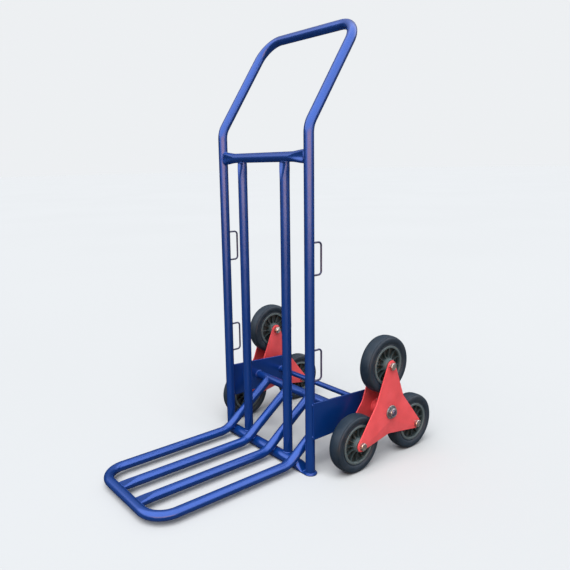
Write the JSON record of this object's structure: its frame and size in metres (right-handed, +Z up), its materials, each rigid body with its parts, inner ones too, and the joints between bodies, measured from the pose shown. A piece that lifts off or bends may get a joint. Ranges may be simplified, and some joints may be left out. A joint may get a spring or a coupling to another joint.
{
  "type": "stair climbing trolley",
  "caption": "Bent-tube hand truck with a barred toe platform, an open handle loop and free-turning wheel stars at the back for climbing stairs.",
  "frame": {"origin": "on the floor, in the middle of the outer box, with the trolley standing upright on its feet and four of its six wheels", "axes": "+Z up; -Y towards the toe platform's front edge, +Y towards the wheel stars and the user; X across, left is -X"},
  "size_m": [0.5652, 0.8564, 1.1577],
  "materials": {
    "frame_paint": "glossy royal blue powder coat",
    "loop_paint": "dark grey-blue coated wire",
    "star_paint": "satin red powder coat",
    "tyre_rubber": "matt solid rubber, slate black",
    "rim_plastic": "dark grey moulded plastic",
    "zinc": "zinc plated, slightly yellow",
    "bush_steel": "plain steel",
    "bush_nylon": "natural nylon"
  },
  "bodies": {
    "frame": {"main_frame_tube": "frame_paint", "upper_crossbar": "frame_paint", "lower_crossbar": "frame_paint", "platform_loop_tube": "frame_paint", "rear_cross_tube": "frame_paint", "back_slat_left": "frame_paint", "platform_bar_left": "frame_paint", "side_plate_left": "frame_paint", "strap_loop_lower_left": "loop_paint", "strap_loop_upper_left": "loop_paint", "back_slat_right": "frame_paint", "platform_bar_right": "frame_paint", "side_plate_right": "frame_paint", "strap_loop_lower_right": "loop_paint", "strap_loop_upper_right": "loop_paint", "axle": "frame_paint", "axle_spacer_left": "bush_steel", "axle_washer_left": "zinc", "axle_nut_left": "zinc", "axle_spacer_right": "bush_steel", "axle_washer_right": "zinc", "axle_nut_right": "zinc"},
    "star_left": {"star_plate_inner_left": "star_paint", "star_plate_outer_left": "star_paint", "hub_sleeve_left": "star_paint", "hub_bush_left": "bush_nylon", "wheel_bush_left_top": "bush_steel", "wheel_bolt_left_top": "zinc", "wheel_nut_left_top": "zinc", "wheel_bush_left_front": "bush_steel", "wheel_bolt_left_front": "zinc", "wheel_nut_left_front": "zinc", "wheel_bush_left_rear": "bush_steel", "wheel_bolt_left_rear": "zinc", "wheel_nut_left_rear": "zinc"},
    "wheel_left_top": {"tyre_left_top": "tyre_rubber", "rim_left_top": "rim_plastic"},
    "wheel_left_front": {"tyre_left_front": "tyre_rubber", "rim_left_front": "rim_plastic"},
    "wheel_left_rear": {"tyre_left_rear": "tyre_rubber", "rim_left_rear": "rim_plastic"},
    "star_right": {"star_plate_inner_right": "star_paint", "star_plate_outer_right": "star_paint", "hub_sleeve_right": "star_paint", "hub_bush_right": "bush_nylon", "wheel_bush_right_top": "bush_steel", "wheel_bolt_right_top": "zinc", "wheel_nut_right_top": "zinc", "wheel_bush_right_front": "bush_steel", "wheel_bolt_right_front": "zinc", "wheel_nut_right_front": "zinc", "wheel_bush_right_rear": "bush_steel", "wheel_bolt_right_rear": "zinc", "wheel_nut_right_rear": "zinc"},
    "wheel_right_top": {"tyre_right_top": "tyre_rubber", "rim_right_top": "rim_plastic"},
    "wheel_right_front": {"tyre_right_front": "tyre_rubber", "rim_right_front": "rim_plastic"},
    "wheel_right_rear": {"tyre_right_rear": "tyre_rubber", "rim_right_rear": "rim_plastic"}
  },
  "joints": [
    {"name": "star_left_spin", "type": "hinge", "parent": "frame", "child": "star_left", "pos_m": [0, 0.23848, 0.1426], "axis": [1, 0, 0], "continuous": true},
    {"name": "wheel_left_top_spin", "type": "hinge", "parent": "star_left", "child": "wheel_left_top", "pos_m": [0, 0.23848, 0.2714], "axis": [1, 0, 0], "continuous": true},
    {"name": "wheel_left_front_spin", "type": "hinge", "parent": "star_left", "child": "wheel_left_front", "pos_m": [0, 0.12694, 0.0782], "axis": [1, 0, 0], "continuous": true},
    {"name": "wheel_left_rear_spin", "type": "hinge", "parent": "star_left", "child": "wheel_left_rear", "pos_m": [0, 0.35002, 0.0782], "axis": [1, 0, 0], "continuous": true},
    {"name": "star_right_spin", "type": "hinge", "parent": "frame", "child": "star_right", "pos_m": [0, 0.23848, 0.1426], "axis": [1, 0, 0], "continuous": true},
    {"name": "wheel_right_top_spin", "type": "hinge", "parent": "star_right", "child": "wheel_right_top", "pos_m": [0, 0.23848, 0.2714], "axis": [1, 0, 0], "continuous": true},
    {"name": "wheel_right_front_spin", "type": "hinge", "parent": "star_right", "child": "wheel_right_front", "pos_m": [0, 0.12694, 0.0782], "axis": [1, 0, 0], "continuous": true},
    {"name": "wheel_right_rear_spin", "type": "hinge", "parent": "star_right", "child": "wheel_right_rear", "pos_m": [0, 0.35002, 0.0782], "axis": [1, 0, 0], "continuous": true}
  ]
}
